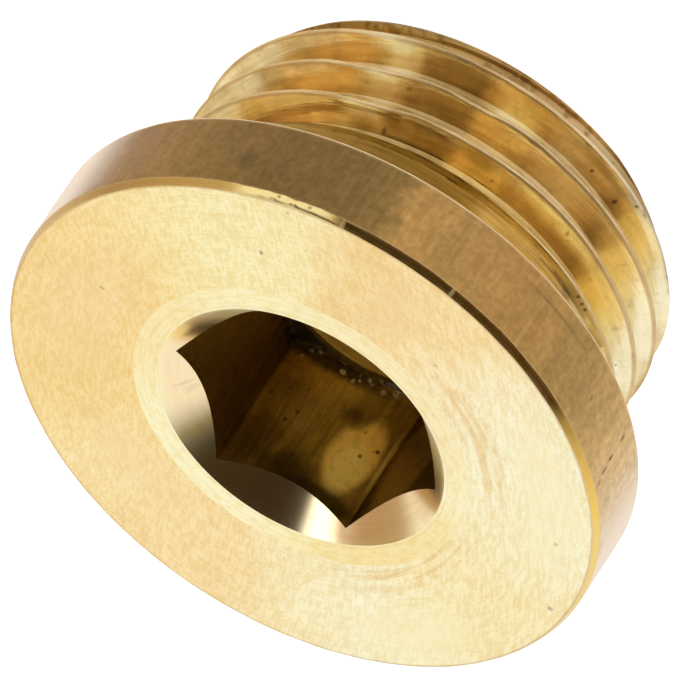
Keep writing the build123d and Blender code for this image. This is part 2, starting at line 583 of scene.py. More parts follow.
def turn_tones(tree, stops, ragged=3.0, ragged_size=1.2):
    """Colour that changes round the turn. stops are (degrees from the front, red, green, blue)."""
    axis = add_group(tree, "Round the axis").outputs
    value = noise(tree, axis["Place"], 1 / ragged_size, 3.0)[0]
    bend = math_node(tree, "MULTIPLY", math_node(tree, "SUBTRACT", value, 0.5), ragged * 2)
    angle = math_node(tree, "ADD", axis["Angle"], bend)
    share = math_node(tree, "MULTIPLY_ADD", angle, 1 / 360, 0.5)
    ramp = add(tree, "ValToRGB", None, {0: share})
    points = ramp.color_ramp.elements
    while len(points) < len(stops):
        points.new(1.0)
    for point, (degrees, *colour) in zip(points, stops):
        point.position = degrees / 360 + 0.5
        point.color = (*colour, 1)
    return ramp.outputs[0]


def spot(paint, strength, turn, radius=(), height=(), like=None, **edge):
    """Row for patched. Each place is (middle, half reach), or (middle,) where like gives the reach."""
    inputs = dict(like or {})
    for name, place in (("Angle", turn), ("Radius", radius), ("Height", height)):
        inputs.update(zip((name, "Half " + name.lower()), place))
    for name, value in edge.items():
        inputs[name.replace("_", " ").capitalize()] = value
    return paint, strength, inputs


def alike(like, rows):
    """Rows for patched that share inputs. rows are (colour, strength, turn, radius, height)."""
    return [spot(*row, like=like) for row in rows]


def dots(paint, like, rows):
    """Rows for patched: small marks of one colour. rows are (strength, angle, height)."""
    return [spot(paint, strength, (angle,), height=(height,), like=like) for strength, angle, height in rows]


def patched(tree, colour, patches):
    """Colour with patches laid over it. patches are rows made by spot."""
    for paint, strength, inputs in patches:
        mask = add_group(tree, "Patch", inputs).outputs[0]
        colour = painted(tree, colour, mask, strength, paint)
    return colour


def bump(tree, strength, distance_mm, height):
    inputs = {"Strength": strength, "Distance": distance_mm * MM, "Height": height}
    return add(tree, "Bump", None, inputs).outputs[0]


def new_material(name, metallic=1.0):
    material = bpy.data.materials.new(name)
    material.use_nodes = True
    tree = material.node_tree
    shader = tree.nodes["Principled BSDF"]
    shader.inputs["Metallic"].default_value = metallic
    return material, tree, shader


# ---------------------------------------------------------------- brass finishes

cream = (0.97, 0.86, 0.52)
brown = (0.56, 0.36, 0.15)
pit_colour = (0.10, 0.065, 0.025)


def face_brass(tree):
    """Faced end of the collar: painted sheen that changes by angle, mottled, with overlapping tool arcs,
    smears and a few pits.
    """
    # Colour round the turn: painted sheen, paler and darker by angle.
    tone = turn_tones(tree, [
        (-180, 0.99, 0.79, 0.44), (-160, 1.0, 0.91, 0.60), (-138, 1.0, 0.97, 0.70), (-118, 1.0, 0.91, 0.58),
        (-100, 1.0, 0.89, 0.56), (-75, 1.0, 0.96, 0.68), (-48, 1.0, 0.97, 0.72), (-30, 1.0, 0.90, 0.61),
        (-12, 0.98, 0.78, 0.43), (8, 0.96, 0.74, 0.38), (22, 1.0, 0.90, 0.54), (42, 1.0, 0.92, 0.55),
        (58, 1.0, 0.87, 0.48), (80, 0.99, 0.76, 0.37), (125, 0.98, 0.76, 0.36), (150, 1.0, 0.82, 0.45),
        (180, 0.99, 0.79, 0.44)], 14, 4.0)
    blotch = grain_mask(tree, 2.4, 4.0, 2.4)
    colour = mix(tree, blotch, shade(tree, tone, (0.97, 0.93, 0.86)), tone)
    arcs = tool_lines(tree, 0.15, 0.25, (-20, 46, 0))
    rings = tool_lines(tree, 0.14, 1.6)
    fine = grain_mask(tree, 0.15, 2.0, 2.8)
    lines = math_node(tree, "MULTIPLY_ADD", rings, 0.25, math_node(tree, "MULTIPLY", arcs, 0.40))
    lines = math_node(tree, "MULTIPLY_ADD", fine, 0.35, lines)
    colour = mix(tree, smooth(tree, lines, 0.26, 0.72), shade(tree, colour, (0.92, 0.85, 0.71)), colour)
    colour = tinted(tree, colour, mottle_mask(tree, 0.9, 0.40, 0.14), 0.25, (0.92, 0.82, 0.64))
    marks = smooth(tree, tool_lines(tree, 0.36, 14.0, (-0.5, 0.7, 0)), 0.1, 0.9)
    tan = shade(tree, colour, (0.86, 0.64, 0.42))
    for _, strength, place in [
            spot(None, 0.85, (-112, 44), radius=(7.85, 0.7), soft=0.8, ragged=0.8),
            spot(None, 0.65, (-48, 34), radius=(8.4, 1.2), soft=0.8, ragged=0.8),
            spot(None, 0.35, (-128, 30), radius=(8.9, 1.0), soft=0.8, ragged=0.8)]:
        area = math_node(tree, "MULTIPLY", add_group(tree, "Patch", place).outputs[0], marks)
        colour = mix(tree, math_node(tree, "MULTIPLY", area, strength), colour, tan)
    colour = patched(tree, colour, [
        spot((0.90, 0.64, 0.32), 0.35, (-3, 10), radius=(9.6, 2.6), ragged=0.7),
        spot((0.92, 0.68, 0.36), 0.30, (150, 22), radius=(9.5, 2.0), ragged=1.0),
        spot((0.92, 0.68, 0.36), 0.25, (98, 30), radius=(10.0, 2.2), ragged=1.0),
        # Cream patches: painted sheen.
        spot(cream, 0.5, (-62, 30), radius=(11.0, 1.8), ragged=0.8),
        spot(cream, 0.5, (-132, 22), radius=(11.0, 2.2), ragged=0.9),
        spot(brown, 0.6, (0, 500), radius=(12.88, 0.16), ragged=0.6),
        spot(pit_colour, 0.6, (31.5, 0.8), radius=(9.7, 0.2), soft=0.8, ragged=0.3),
        spot(pit_colour, 0.5, (-94, 0.9), radius=(12.2, 0.22), soft=0.8, ragged=0.4),
        spot(pit_colour, 0.35, (-75, 0.7), radius=(11.3, 0.15), soft=0.8, ragged=0.4),
        spot(pit_colour, 0.35, (87, 0.9), radius=(9.6, 0.2), soft=0.8, ragged=0.5)])
    colour = painted(tree, colour, pit_mask(tree, 1.6, 0.11, 0.25), 0.3, pit_colour)
    return {"Base Color": colour, "Roughness": smooth(tree, fine, 0.0, 1.0, 0.24, 0.36),
            "Normal": bump(tree, 0.5, 0.02, lines)}


def ring_brass(tree):
    """Smoother ring round the socket, turned by the countersink."""
    strokes = tool_lines(tree, 0.22, 2.0)
    grain = grain_mask(tree, 0.4, 3.0, 2.6)
    tone = turn_tones(tree, [
        (-180, 0.99, 0.91, 0.58), (-158, 0.97, 0.85, 0.47), (-140, 0.95, 0.77, 0.37),
        (-95, 0.96, 0.80, 0.42), (-80, 0.98, 0.90, 0.57), (-50, 0.97, 0.83, 0.50), (0, 0.97, 0.85, 0.50),
        (45, 0.98, 0.90, 0.56), (70, 0.97, 0.82, 0.45), (105, 0.97, 0.82, 0.44), (125, 0.99, 0.91, 0.57),
        (180, 0.99, 0.91, 0.58)], 9, 1.2)
    both = math_node(tree, "MULTIPLY", math_node(tree, "ADD", strokes, grain), 0.5)
    colour = mix(tree, smooth(tree, both, 0.2, 0.6), shade(tree, tone, (0.95, 0.90, 0.76)), tone)
    colour = patched(tree, colour, [
        spot((0.93, 0.72, 0.37), 0.7, (0, 500), radius=(7.65, 0.34), soft=0.9, ragged=1.2, ragged_size=0.35),
        spot((0.86, 0.66, 0.33), 0.30, (0, 500), radius=(6.95, 0.06), ragged=1.4, ragged_size=0.5),
        spot((0.80, 0.60, 0.34), 0.30, (0, 500), radius=(6.48, 0.05), ragged=1.4, ragged_size=0.6)])
    # Mouth edge: scuffed brass with a painted highlight.
    colour = worn_and_highlighted(tree, colour, cream, 0.6)
    return {"Base Color": colour, "Normal": bump(tree, 0.2, 0.01, both), "Roughness": 0.30}


def bevel_brass(tree):
    """Narrow bevel between face and side, dark in places, darkest from -37 to 13 degrees as a painted dark
    reflection, and smeared bright at a burr.
    """
    # Colour round the turn, with the painted dark reflection from -37 to 13 degrees.
    colour = turn_tones(tree, [
        (-180, 0.70, 0.48, 0.15), (-120, 0.80, 0.56, 0.17), (-70, 0.95, 0.68, 0.18),
        (-62, 0.93, 0.63, 0.14), (-50, 0.73, 0.46, 0.11), (-43, 0.46, 0.29, 0.06),
        (-37, 0.085, 0.036, 0.003), (13, 0.065, 0.03, 0.002), (15, 0.60, 0.40, 0.12), (18, 1.0, 0.80, 0.36),
        (32, 1.0, 0.78, 0.32), (36, 0.54, 0.32, 0.08), (62, 0.42, 0.23, 0.06), (75, 0.62, 0.38, 0.11),
        (120, 0.70, 0.46, 0.14), (180, 0.70, 0.48, 0.15)], 2.0, 0.5)
    colour = patched(tree, colour, [
        spot((0.60, 0.45, 0.20), 0.5, (-9, 0.5), height=(13.5, 0.3), ragged=0.2),
        spot((0.60, 0.45, 0.20), 0.5, (13.5, 0.6), height=(13.5, 0.3), ragged=0.2),
        spot(pit_colour, 0.6, (20, 0.5), height=(13.42, 0.1), soft=0.7, ragged=0.5),
        spot(pit_colour, 0.7, (26, 0.5), height=(13.4, 0.1), soft=0.7, ragged=0.5)])
    # Bevel edges: scuffed brass with a painted highlight.
    colour = worn_and_highlighted(tree, colour, (0.74, 0.52, 0.24), 0.6, 0.8)
    return {"Base Color": colour, "Roughness": 0.25}


def side_brass(tree):
    """Drawn side of the collar: dull brown, streaked along the axis, with a painted pale sheen where it turns
    away.
    """
    # Colour round the turn; its pale part near -72 degrees is painted sheen where the side turns away.
    tone = turn_tones(tree, [
        (-180, 0.45, 0.29, 0.12), (-120, 0.60, 0.40, 0.17), (-72, 0.95, 0.78, 0.50),
        (-61, 0.90, 0.64, 0.33), (-50, 0.76, 0.48, 0.19), (-38, 0.50, 0.315, 0.116),
        (-22, 0.58, 0.335, 0.115), (-5, 0.55, 0.33, 0.116), (4, 0.67, 0.385, 0.133),
        (8, 0.32, 0.202, 0.072), (30, 0.26, 0.16, 0.055), (45, 0.37, 0.215, 0.068), (58, 0.44, 0.235, 0.07),
        (90, 0.50, 0.30, 0.13), (140, 0.36, 0.22, 0.085), (180, 0.45, 0.29, 0.12)], 2.2, 1.0)
    streaks = streak_mask(tree, 0.22, 3.0)
    wide = streak_mask(tree, 1.1, 9.0)
    grain = grain_mask(tree, 0.5, 4.0, 2.0)
    colour = mix(tree, streaks, shade(tree, tone, (0.83, 0.80, 0.76)), tone)
    colour = mix(tree, math_node(tree, "MULTIPLY", wide, 0.35), colour, shade(tree, tone, (1.25, 1.2, 1.1)))
    colour = tinted(tree, colour, grain, 0.45, (0.72, 0.68, 0.60))
    fine = grain_mask(tree, 0.3, 3.0, 2.6)
    colour = mix(tree, smooth(tree, fine, 0.2, 0.8), shade(tree, colour, (0.86, 0.84, 0.80)), colour)
    colour = tinted(tree, colour, mottle_mask(tree, 1.6, 0.46, 0.12), 0.4, (0.76, 0.84, 0.86))
    nick = {"Half angle": 0.5, "Half height": 0.32, "Ragged": 0.8, "Ragged size": 0.25, "Soft": 0.7}
    scab = (0.16, 0.08, 0.03)
    colour = patched(tree, colour, [
        spot((0.13, 0.085, 0.035), 0.6, (35.5, 2.6), height=(11.9, 0.8), soft=0.8),
        *dots(scab, nick, [(0.85, -56.3, 11.8), (0.7, -56.8, 12.4), (0.75, -56.0, 10.7),
                           (0.5, -43, 11.6), (0.45, -57.5, 13.0)]),
        spot((0.20, 0.12, 0.05), 0.5, (-27, 11), height=(10.55, 0.12), soft=0.8)])
    # Back edge of the collar: scuffed brass with a painted highlight.
    colour = worn_and_highlighted(tree, colour, (0.84, 0.58, 0.30), 0.75, 1.3)
    # Painted sheen: paler where the side turns away from the view.
    turned_away = add(tree, "LayerWeight", None, {"Blend": 0.5}).outputs["Facing"]
    veil = smooth(tree, turned_away, 0.63, 0.88)
    colour = mix(tree, veil, colour, (1, 0.82, 0.64, 1))
    return {"Base Color": colour, "Normal": bump(tree, 0.3, 0.015, streaks), "Roughness": 0.36}


def seat_brass(tree):
    """Underside of the collar, turned smooth."""
    lines = tool_lines(tree, 0.2, 14.0)
    colour = mix(tree, lines, (0.96, 0.80, 0.46, 1), (1.0, 0.90, 0.58, 1))
    colour = worn_and_highlighted(tree, colour, (0.84, 0.58, 0.32), 1.0, 0.8)
    return {"Base Color": colour, "Normal": bump(tree, 0.25, 0.01, lines), "Roughness": 0.16}


def neck_brass(tree):
    """Plain neck next to the collar, with tool lines and dull smears."""
    lines = tool_lines(tree, 0.12, 7.0)
    grain = grain_mask(tree, 0.7, 4.0, 2.0)
    tone = turn_tones(tree, [
        (-180, 0.70, 0.44, 0.13), (-60, 0.95, 0.75, 0.36), (-42, 0.90, 0.66, 0.28), (-36, 0.66, 0.46, 0.18),
        (-28, 0.84, 0.52, 0.14), (-9, 0.80, 0.48, 0.12), (-4, 0.46, 0.245, 0.04), (15, 0.34, 0.19, 0.036),
        (34, 0.42, 0.235, 0.05), (50, 0.60, 0.38, 0.12), (120, 0.60, 0.38, 0.12),
        (180, 0.70, 0.44, 0.13)], 2.0, 0.8)
    colour = mix(tree, lines, shade(tree, tone, (0.62, 0.58, 0.50)), tone)
    colour = tinted(tree, colour, grain, 0.5, (0.7, 0.64, 0.5))
    speck = {"Half angle": 0.6, "Height": 6.76, "Half height": 0.09, "Soft": 0.7, "Ragged": 0.5,
             "Ragged size": 0.2}
    colour = patched(tree, colour, [
        spot((0.20, 0.12, 0.04), 0.6, (-35, 2.5), height=(7.1, 0.4), soft=0.8),
        spot(pit_colour, 0.8, (-41.5,), like=speck),
        spot(pit_colour, 0.8, (-39.8,), like=speck),
        spot(pit_colour, 0.8, (-37.6,), like=speck)])
    return {"Base Color": colour, "Normal": bump(tree, 0.3, 0.015, lines), "Roughness": 0.34}


def flank_reflections_and_specks(tree, colour):
    """Flanks with fields of painted reflection, bright and brown, and dark specks."""
    area = {"Soft": 0.8, "Ragged": 0.6, "Ragged size": 0.8}
    speck = {"Half angle": 0.8, "Half radius": 0.12, "Half height": 0.5, "Ragged": 0.7, "Ragged size": 0.2,
             "Soft": 0.7}
    return patched(tree, colour, [
        spot((1.0, 0.91, 0.62), 0.65, (-66, 18), height=(4.0, 9.0), soft=0.6),
        spot((1.0, 0.80, 0.38), 0.55, (-48, 11), height=(4.0, 9.0), soft=0.6),
        spot((1.0, 0.85, 0.50), 0.4, (68, 7), height=(4.0, 9.0), soft=0.6),
        *alike(area, [
            ((1.0, 0.80, 0.34), 1.0, (-26, 22), (10.1, 0.45), (5.25, 0.5)),
            ((0.44, 0.29, 0.09), 1.0, (0, 9), (10.05, 0.5), (5.3, 0.7)),
            ((0.60, 0.42, 0.15), 0.6, (-1, 7), (9.6, 0.45), (5.75, 0.5)),
            ((0.42, 0.28, 0.08), 0.9, (29, 7), (9.5, 0.45), (5.9, 0.6)),
            ((0.60, 0.42, 0.17), 0.7, (47, 10), (10.1, 0.4), (5.4, 0.5)),
            ((0.62, 0.44, 0.20), 0.5, (47, 10), (10.1, 0.4), (3.5, 0.5)),
            ((0.52, 0.37, 0.14), 0.7, (15, 9), (10.0, 0.5), (2.5, 1.8)),
            ((0.46, 0.31, 0.11), 0.85, (-23, 15), (10.1, 0.4), (1.65, 0.5)),
            ((0.45, 0.32, 0.12), 0.65, (15.5, 7), (10.1, 0.4), (1.7, 0.5)),
            ((0.62, 0.43, 0.15), 0.6, (56, 3.5), (), (1.95, 0.8)),
            ((1.0, 0.83, 0.42), 0.8, (-2, 8), (), (2.2, 0.9)),
            ((1.0, 0.84, 0.52), 0.35, (-19, 11), (), (3.0, 1.9)),
            ((1.0, 0.86, 0.52), 0.5, (30, 7), (), (2.8, 1.9)),
            ((1.0, 0.90, 0.56), 1.0, (30, 8), (10.1, 0.45), (5.3, 0.6)),
            ((1.0, 0.94, 0.66), 1.0, (31, 7), (10.1, 0.5), (3.4, 0.45)),
            ((1.0, 0.95, 0.68), 1.0, (32, 9), (10.0, 0.55), (1.6, 0.5)),
            ((0.45, 0.28, 0.10), 0.7, (-34, 2.5), (9.5, 0.35), (3.8, 0.5)),
            ((0.42, 0.26, 0.10), 0.7, (-34, 2.5), (9.5, 0.35), (2.0, 0.5)),
            ((0.50, 0.33, 0.14), 0.6, (-6, 4), (9.5, 0.25), (3.6, 0.5))]),
        *alike(speck, [
            (pit_colour, 0.85, (-34.5,), (9.6, 0.2), (1.8,)),
            (pit_colour, 0.8, (-24.5,), (9.67,), (1.8,)),
            (pit_colour, 0.8, (-38,), (10.17,), (1.46,)),
            (pit_colour, 0.5, (-27,), (10.04,), (5.2,)),
            (pit_colour, 0.7, (23,), (9.48, 0.22), (5.75,)),
            (pit_colour, 0.45, (22.5, 1.3), (9.94,), (3.7,)),
            (pit_colour, 0.4, (-5.5,), (9.64,), (5.5,)),
            (pit_colour, 0.6, (-66, 1.1), (9.9, 0.3), (3.7,)),
            (pit_colour, 0.6, (-63,), (10.0, 0.25), (3.7,)),
            (pit_colour, 0.4, (-54.5,), (9.8,), (2.0,))])])


def crest_marks(tree, colour):
    """Crests with dark dashes, a painted highlight on the last crest and dark marks at the thread end."""
    dash = {"Radius": 10.37, "Half radius": 0.15, "Half height": 0.08, "Soft": 0.7, "Ragged": 0.6,
            "Ragged size": 0.3}
    return patched(tree, colour, [
        spot(pit_colour, 0.85, (26, 3.0), height=(5.12,), like=dash),
        spot(pit_colour, 0.8, (30.5, 1.0), height=(5.14,), like=dash),
        spot(pit_colour, 0.9, (34, 1.6), height=(5.14,), like=dash),
        # Painted highlight on the last crest.
        spot((1.0, 0.86, 0.52), 0.8, (34, 10), radius=(10.3, 0.2), height=(1.62, 0.25), soft=0.7,
             ragged=0.7, ragged_size=0.5),
        spot((0.36, 0.29, 0.16), 0.8, (-55, 20), radius=(10.1, 0.5), height=(1.05, 0.3), soft=0.5,
             ragged=0.5),
        spot(pit_colour, 0.8, (-41, 1.5), radius=(10.2, 0.4), height=(1.15, 0.25), soft=0.7),
        spot(pit_colour, 0.8, (-60, 1.5), radius=(10.1, 0.4), height=(1.05, 0.3), soft=0.7)])


def thread_brass(tree):
    """Thread: flanks bright and brown by angle as painted reflection, with brown stains, tool lines, scuffed
    crests with a painted highlight, and pits.
    """
    # Colour round the turn: painted reflection, in bright and dark bands by angle.
    tone = turn_tones(tree, [
        (-180, 0.90, 0.68, 0.32), (-90, 0.97, 0.82, 0.50), (-66, 1.0, 0.86, 0.53), (-42, 1.0, 0.78, 0.36),
        (-38, 0.74, 0.53, 0.25), (-34, 0.74, 0.54, 0.27), (-30, 0.91, 0.68, 0.34), (-10, 0.88, 0.65, 0.31),
        (-7, 1.0, 0.75, 0.34), (5, 1.0, 0.73, 0.33), (8, 0.66, 0.47, 0.21), (23, 0.68, 0.49, 0.22),
        (26, 0.94, 0.73, 0.40), (35, 0.94, 0.72, 0.36), (39, 1.0, 0.72, 0.32), (54, 1.0, 0.71, 0.31),
        (57, 0.76, 0.53, 0.20), (61, 0.82, 0.58, 0.24), (66, 1.0, 0.80, 0.40), (90, 0.97, 0.78, 0.40),
        (120, 0.74, 0.54, 0.24), (150, 0.95, 0.72, 0.34), (180, 0.90, 0.68, 0.32)], 2.0, 0.7)
    axis = add_group(tree, "Round the axis").outputs
    # Painted shade, darker towards the root.
    near_root = smooth(tree, axis["Radius"], 9.3, 10.2, 0.35, 0.0)
    tone = mix(tree, near_root, tone, shade(tree, tone, (0.62, 0.56, 0.46)))
    lines = tool_lines(tree, 0.14, 9.0)
    stain = grain_mask(tree, 1.3, 4.0, 2.6)
    colour = mix(tree, lines, shade(tree, tone, (0.80, 0.76, 0.66)), tone)
    colour = tinted(tree, colour, stain, 0.5, (0.62, 0.54, 0.40))
    colour = flank_reflections_and_specks(tree, colour)
    first = add_group(tree, "Patch", {"Angle": -18, "Half angle": 62, "Radius": 9.6, "Half radius": 0.8,
                                      "Height": 5.6, "Half height": 0.6, "Soft": 0.6}).outputs[0]
    colour = mix(tree, first, colour, shade(tree, colour, (0.97, 0.91, 0.70)))
    colour = tinted(tree, colour, mottle_mask(tree, 0.5, 0.36, 0.08), 0.3, (0.5, 0.42, 0.3))
    colour = painted(tree, colour, pit_mask(tree, 1.1, 0.10, 0.25), 0.5, pit_colour)
    crest = smooth(tree, axis["Radius"], 10.2, 10.33)
    on_crest = mix(tree, 0.2, (0.70, 0.47, 0.20, 1), colour)
    colour = mix(tree, math_node(tree, "MULTIPLY", crest, 0.85), colour, on_crest)
    # Painted highlight on the crests, strong from -34 to 7 and from 25 to 42 degrees, laid with the scuffed
    # edge paint.
    crest_highlight_and_wear = turn_tones(tree, [
        (-180, 0.5, 0.5, 0.5), (-80, 0.1, 0.1, 0.1), (-42, 0.15, 0.15, 0.15), (-34, 1, 1, 1), (7, 1, 1, 1),
        (11, 0.3, 0.3, 0.3), (21, 0.3, 0.3, 0.3), (25, 1, 1, 1), (42, 1, 1, 1), (47, 0.5, 0.5, 0.5),
        (70, 0.5, 0.5, 0.5), (90, 0.4, 0.4, 0.4), (140, 0.9, 0.9, 0.9), (180, 0.5, 0.5, 0.5)], 2.0, 0.8)
    edge = add_group(tree, "Worn edge and highlight", {"Amount": 0.95, "Ragged size": 1.8}).outputs[0]
    colour = mix(tree, math_node(tree, "MULTIPLY", edge, crest_highlight_and_wear), colour, (0.96, 0.72, 0.40, 1))
    colour = crest_marks(tree, colour)
    rough = smooth(tree, stain, 0.2, 0.9, 0.14, 0.26)
    rough = math_node(tree, "MULTIPLY_ADD", crest, 0.36, rough)
    return {"Base Color": colour, "Normal": bump(tree, 0.3, 0.015, lines), "Roughness": rough}


def lead_brass(tree):
    """Chamfer at the thread end, dark with painted shade for the shaded floor it reflects, and brighter from
    -44 to -6 degrees.
    """
    lines = tool_lines(tree, 0.15, 8.0)
    grain = grain_mask(tree, 0.8, 4.0, 2.4)
    # Colour round the turn: painted shade, except from -44 to -6 degrees.
    tone = turn_tones(tree, [
        (-180, 0.55, 0.36, 0.15), (-70, 0.60, 0.46, 0.25), (-44, 0.80, 0.62, 0.34), (-24, 1.0, 0.79, 0.46),
        (-14, 0.96, 0.70, 0.36), (-6, 0.80, 0.55, 0.25), (5, 0.58, 0.38, 0.15), (14, 0.74, 0.50, 0.20),
        (30, 0.66, 0.45, 0.16), (60, 0.62, 0.42, 0.15), (120, 0.50, 0.33, 0.13),
        (180, 0.55, 0.36, 0.15)], 5, 0.8)
    colour = mix(tree, lines, shade(tree, tone, (0.66, 0.60, 0.50)), tone)
    colour = mix(tree, smooth(tree, grain, 0.5, 0.8), colour, shade(tree, colour, (0.62, 0.56, 0.46)))
    return {"Base Color": colour, "Normal": bump(tree, 0.3, 0.015, lines), "Roughness": 0.42}


def end_brass(tree):
    """Faced thread end."""
    lines = tool_lines(tree, 0.25, 14.0)
    grain = grain_mask(tree, 1.6, 4.0, 2.0)
    colour = mix(tree, lines, (0.66, 0.46, 0.20, 1), (0.84, 0.63, 0.32, 1))
    colour = painted(tree, colour, grain, 0.4, brown)
    return {"Base Color": colour, "Normal": bump(tree, 0.4, 0.02, lines), "Roughness": 0.30}


def countersink_brass(tree):
    """Countersink, cut smooth, with painted reflection and shade by angle, and two faint scratches."""
    lines = tool_lines(tree, 0.14, 9.0)
    # Colour round the turn: painted reflection and shade by angle.
    tone = turn_tones(tree, [
        (-180, 0.82, 0.64, 0.36), (-170, 0.85, 0.68, 0.40), (-165, 1.0, 0.90, 0.60),
        (-150, 0.97, 0.78, 0.50), (-143, 0.95, 0.70, 0.44), (-120, 0.97, 0.79, 0.49),
        (-98, 0.90, 0.68, 0.38), (-82, 0.90, 0.70, 0.40), (-70, 0.68, 0.52, 0.21), (-58, 0.78, 0.60, 0.30),
        (-40, 0.95, 0.76, 0.46), (40, 0.95, 0.76, 0.46), (60, 0.74, 0.60, 0.29), (75, 0.98, 0.70, 0.34),
        (95, 0.98, 0.79, 0.49), (138, 0.97, 0.78, 0.48), (143, 0.90, 0.68, 0.28), (153, 1.0, 0.95, 0.56),
        (165, 0.95, 0.75, 0.42), (180, 0.82, 0.64, 0.36)], 2.0, 1.0)
    colour = mix(tree, lines, shade(tree, tone, (0.96, 0.94, 0.90)), tone)
    colour = patched(tree, colour, [
        spot((0.60, 0.46, 0.30), 0.4, (120, 1.6), radius=(5.6, 0.45), soft=0.8, ragged=0.8),
        spot((0.70, 0.55, 0.36), 0.4, (124, 3.0), radius=(5.4, 0.3), ragged=0.8)])
    # Mouth edge: scuffed brass with a painted highlight.
    colour = worn_and_highlighted(tree, colour, cream, 0.6)
    turned_away = add(tree, "LayerWeight", None, {"Blend": 0.5}).outputs["Facing"]
    return {"Base Color": colour, "Normal": bump(tree, 0.06, 0.005, lines),
            "Roughness": smooth(tree, turned_away, 0.6, 0.9, 0.16, 0.6)}


def socket_shade_sheen_and_specks(tree, colour):
    """Walls with bright fields, among them a painted reflection, shadows, chips with painted glints at the
    ledge, and specks.
    """
    speck = {"Half angle": 1.2, "Half height": 0.16, "Ragged": 0.8, "Ragged size": 0.25, "Soft": 0.6}
    chip_glint = {"Half angle": 1.3, "Half height": 0.12, "Ragged": 0.9, "Ragged size": 0.2, "Soft": 0.8}
    return patched(tree, colour, [
        spot((0.50, 0.34, 0.10), 0.8, (178, 14), height=(8.9, 2.2), soft=0.8, ragged=0.9, ragged_size=1.0),
        spot((0.85, 0.58, 0.16), 0.8, (180, 26), height=(7.0, 1.5), soft=0.9, ragged=0.9, ragged_size=1.2),
        spot((0.44, 0.31, 0.10), 0.6, (118, 28), height=(9.5, 6.0), soft=0.4),
        spot((1.0, 0.80, 0.27), 0.8, (-120, 22), height=(9.5, 5.0), soft=0.4, ragged=0.5, ragged_size=0.8),
        spot((0.14, 0.085, 0.025), 0.75, (166, 14), height=(11.4, 2.1), soft=0.9, ragged=0.5),
        spot((0.06, 0.035, 0.010), 0.85, (-174, 18), height=(12.1, 1.7), soft=0.7, ragged=0.5),
        # Painted reflection: a bright golden field on the wall, from -156 to -151 degrees.
        spot((1.0, 0.68, 0.22), 0.95, (-156, 10.5), height=(10.0, 2.0), soft=0.4, ragged=0.25,
             ragged_size=0.9),
        spot((1.0, 0.68, 0.22), 0.95, (-151, 8.5), height=(9.6, 2.2), soft=0.4, ragged=0.25,
             ragged_size=0.9),
        spot((1.0, 0.78, 0.30), 1.0, (-153, 10), height=(10.6, 1.9), soft=0.6, ragged=0.4, ragged_size=0.8),
        spot((0.05, 0.03, 0.01), 0.85, (-160, 26), height=(12.6, 0.9), soft=0.5, ragged=0.3),
        spot((0.12, 0.07, 0.02), 0.95, (-161, 9), height=(8.1, 0.8), soft=0.9, ragged=0.8, ragged_size=0.8),
        spot((0.08, 0.05, 0.02), 0.85, (176, 34), height=(6.35, 0.14), soft=0.7, ragged=1.4,
             ragged_size=0.8),
        # Grey dots on chips at the ledge: painted glints.
        *alike(chip_glint, [
            ((0.30, 0.31, 0.30), 0.8, (164,), (), (6.15,)),
            ((0.30, 0.32, 0.32), 0.8, (170,), (), (6.25,)),
            ((0.60, 0.60, 0.55), 0.9, (-176, 1.0), (), (6.15,)),
            ((0.36, 0.36, 0.33), 0.8, (-171,), (), (6.2,)),
            ((0.34, 0.34, 0.32), 0.8, (-166,), (), (6.15,))]),
        *dots(pit_colour, speck, [(0.9, 172.5, 9.85), (0.7, 175, 9.25), (0.9, -146.3, 9.14),
                                  (0.7, -151.2, 9.73), (0.7, 162, 8.95)]),
        spot((0.95, 0.72, 0.34), 0.4, (-142.2, 1.0), height=(9.6, 2.6), soft=0.8, ragged=0.4)])


def socket_brass(tree):
    """Broached walls: dark, with a bright patch of painted reflection, specks and broach streaks."""
    streaks = streak_mask(tree, 0.3, 4.0)
    cloud = grain_mask(tree, 1.5, 4.0, 2.2)
    colour = mix(tree, streaks, (0.325, 0.21, 0.046, 1), (0.49, 0.325, 0.076, 1))
    colour = mix(tree, cloud, colour, shade(tree, colour, (0.66, 0.62, 0.50)))
    colour = socket_shade_sheen_and_specks(tree, colour)
    # Grey dots on a dark ground near the bottom: chips with painted glints.
    grit_and_glints = pit_mask(tree, 0.32, 0.17, 0.4)
    deep = add_group(tree, "Patch", {"Angle": 180, "Half angle": 38, "Height": 6.3, "Half height": 0.7,
                                     "Soft": 0.7}).outputs[0]
    colour = mix(tree, deep, colour, mix(tree, grit_and_glints, (0.10, 0.07, 0.03, 1), (0.62, 0.62, 0.56, 1)))
    colour = tinted(tree, colour, mottle_mask(tree, 0.35, 0.40, 0.1), 0.3, (0.4, 0.34, 0.26))
    colour = painted(tree, colour, pit_mask(tree, 0.6, 0.11, 0.35), 0.6, pit_colour)
    return {"Base Color": colour, "Normal": bump(tree, 0.3, 0.03, streaks), "Roughness": 0.33}


def pilot_brass(tree):
    """Drilled hole under the hexagon, rough and oily."""
    lines = tool_lines(tree, 0.3, 9.0)
    cloud = grain_mask(tree, 1.0, 4.0, 2.6)
    colour = mix(tree, lines, (0.98, 0.76, 0.32, 1), (1.0, 0.88, 0.46, 1))
    colour = mix(tree, cloud, colour, shade(tree, colour, (0.74, 0.70, 0.60)))
    colour = patched(tree, colour, [
        spot((0.09, 0.06, 0.025), 0.9, (0, 500), height=(5.95, 0.22), soft=0.4)])
    # Small grey dots: chips with painted glints.
    colour = painted(tree, colour, pit_mask(tree, 0.4, 0.14, 0.4), 0.6, (0.55, 0.54, 0.46))
    return {"Base Color": colour, "Normal": bump(tree, 0.5, 0.05, lines), "Roughness": 0.40}


